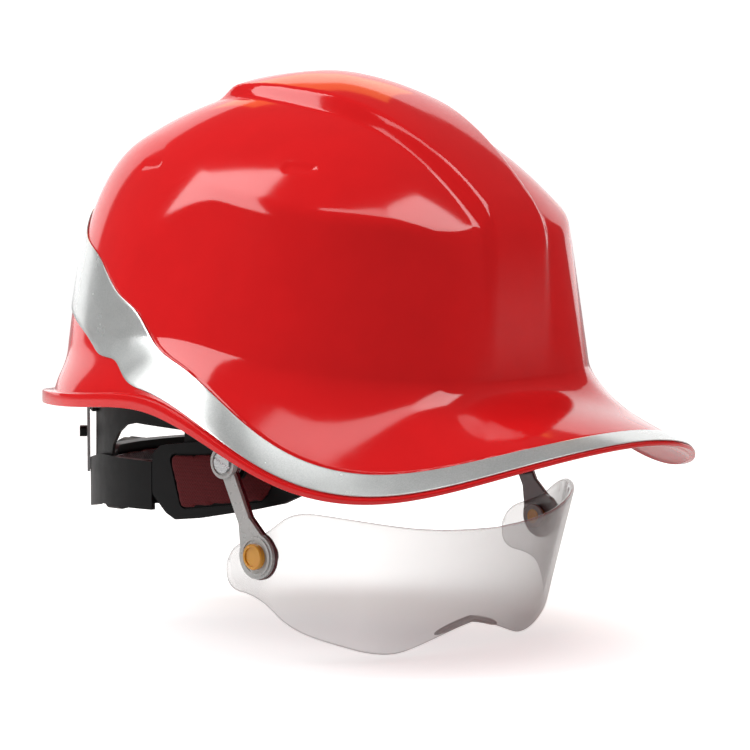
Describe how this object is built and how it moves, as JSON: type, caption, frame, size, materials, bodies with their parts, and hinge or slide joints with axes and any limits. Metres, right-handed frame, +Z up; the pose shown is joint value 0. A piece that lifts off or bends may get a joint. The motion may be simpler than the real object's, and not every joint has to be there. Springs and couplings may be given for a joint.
{
  "type": "hard hat",
  "caption": "Cap-shaped safety helmet with a reflective trim, an adjustable harness and a swing-down clear eye shield.",
  "frame": {"origin": "head reference point: on the dome's upright axis, level with the foot of the forehead wall", "axes": "+Z up, -Y the way the wearer faces, +X the wearer's left"},
  "size_m": [0.224, 0.2928, 0.2301],
  "materials": {
    "shell_red": "glossy, moulded",
    "trim_silver": "satin reflective film",
    "black_plastic": "fine moulded grain",
    "grey_plastic": "smooth",
    "pad_fabric": "knitted cover over foam",
    "webbing": "woven textile strap",
    "side_red": "dark red knitted cover over foam",
    "strip_grey": "cloudy translucent",
    "steel": "machined",
    "lens_clear": "clear, lightly smoked polycarbonate",
    "nose_soft": "soft, translucent",
    "arm_grey": "satin grey",
    "arm_edge": "glossy dark red",
    "knob_amber": "translucent amber"
  },
  "bodies": {
    "helmet": {"shell": "shell_red", "trim_band": "trim_silver", "headband": "black_plastic", "brow_pad": "pad_fabric", "nape_pad": "pad_fabric", "anchor_clips": "black_plastic", "crown_strap_side": "webbing", "crown_strap_right": "webbing", "crown_strap_left": "webbing", "crown_pad": "pad_fabric", "ratchet_base": "black_plastic", "ratchet_cover": "black_plastic", "bracket_screws": "steel", "nape_yoke_right": "black_plastic", "nape_yoke_left": "black_plastic", "side_frame_right": "black_plastic", "side_frame_left": "black_plastic", "side_pad_right": "side_red", "side_pad_left": "side_red", "height_strip_right": "strip_grey", "height_strip_left": "strip_grey", "height_peg_right": "black_plastic", "height_peg_left": "black_plastic", "visor_bracket_right": "black_plastic", "visor_bracket_left": "black_plastic", "pivot_screw_right": "steel", "pivot_screw_left": "steel", "pivot_nut_right": "steel", "pivot_nut_left": "steel", "pivot_washer_right": "grey_plastic", "pivot_washer_left": "grey_plastic"},
    "arms": {"visor_arm_right": "arm_grey", "visor_arm_left": "arm_grey", "arm_spine_right": "arm_edge", "arm_spine_left": "arm_edge"},
    "shield": {"lens": "lens_clear", "nose_pad": "nose_soft", "tilt_knob_right": "knob_amber", "tilt_knob_left": "knob_amber", "tilt_flange_right": "grey_plastic", "tilt_flange_left": "grey_plastic"},
    "knob": {"ratchet_knob": "black_plastic", "ratchet_pinion": "grey_plastic"},
    "strap_right": {"size_strap_right": "black_plastic"},
    "strap_left": {"size_strap_left": "black_plastic"}
  },
  "joints": [
    {"name": "arm_swing", "type": "hinge", "parent": "helmet", "child": "arms", "pos_m": [0, -0.0235, -0.032], "axis": [-1, 0, 0], "range_deg": [0, 50]},
    {"name": "lens_tilt", "type": "hinge", "parent": "arms", "child": "shield", "pos_m": [0, -0.041, -0.0675], "axis": [-1, 0, 0], "range_deg": [-10, 10]},
    {"name": "size_knob", "type": "hinge", "parent": "helmet", "child": "knob", "pos_m": [0, 0.115, -0.053], "axis": [0, 1, 0], "range_deg": [0, 190]},
    {"name": "strap_slide_right", "type": "hinge", "parent": "helmet", "child": "strap_right", "pos_m": [0, 0.03, -0.045], "axis": [0, 0, -1], "range_deg": [0, 12]},
    {"name": "strap_slide_left", "type": "hinge", "parent": "helmet", "child": "strap_left", "pos_m": [0, 0.03, -0.045], "axis": [0, 0, 1], "range_deg": [0, 12]}
  ],
  "couplings": [
    {"joint": "strap_slide_right", "follows": "size_knob", "ratio": 0.060991},
    {"joint": "strap_slide_left", "follows": "size_knob", "ratio": 0.060991}
  ]
}
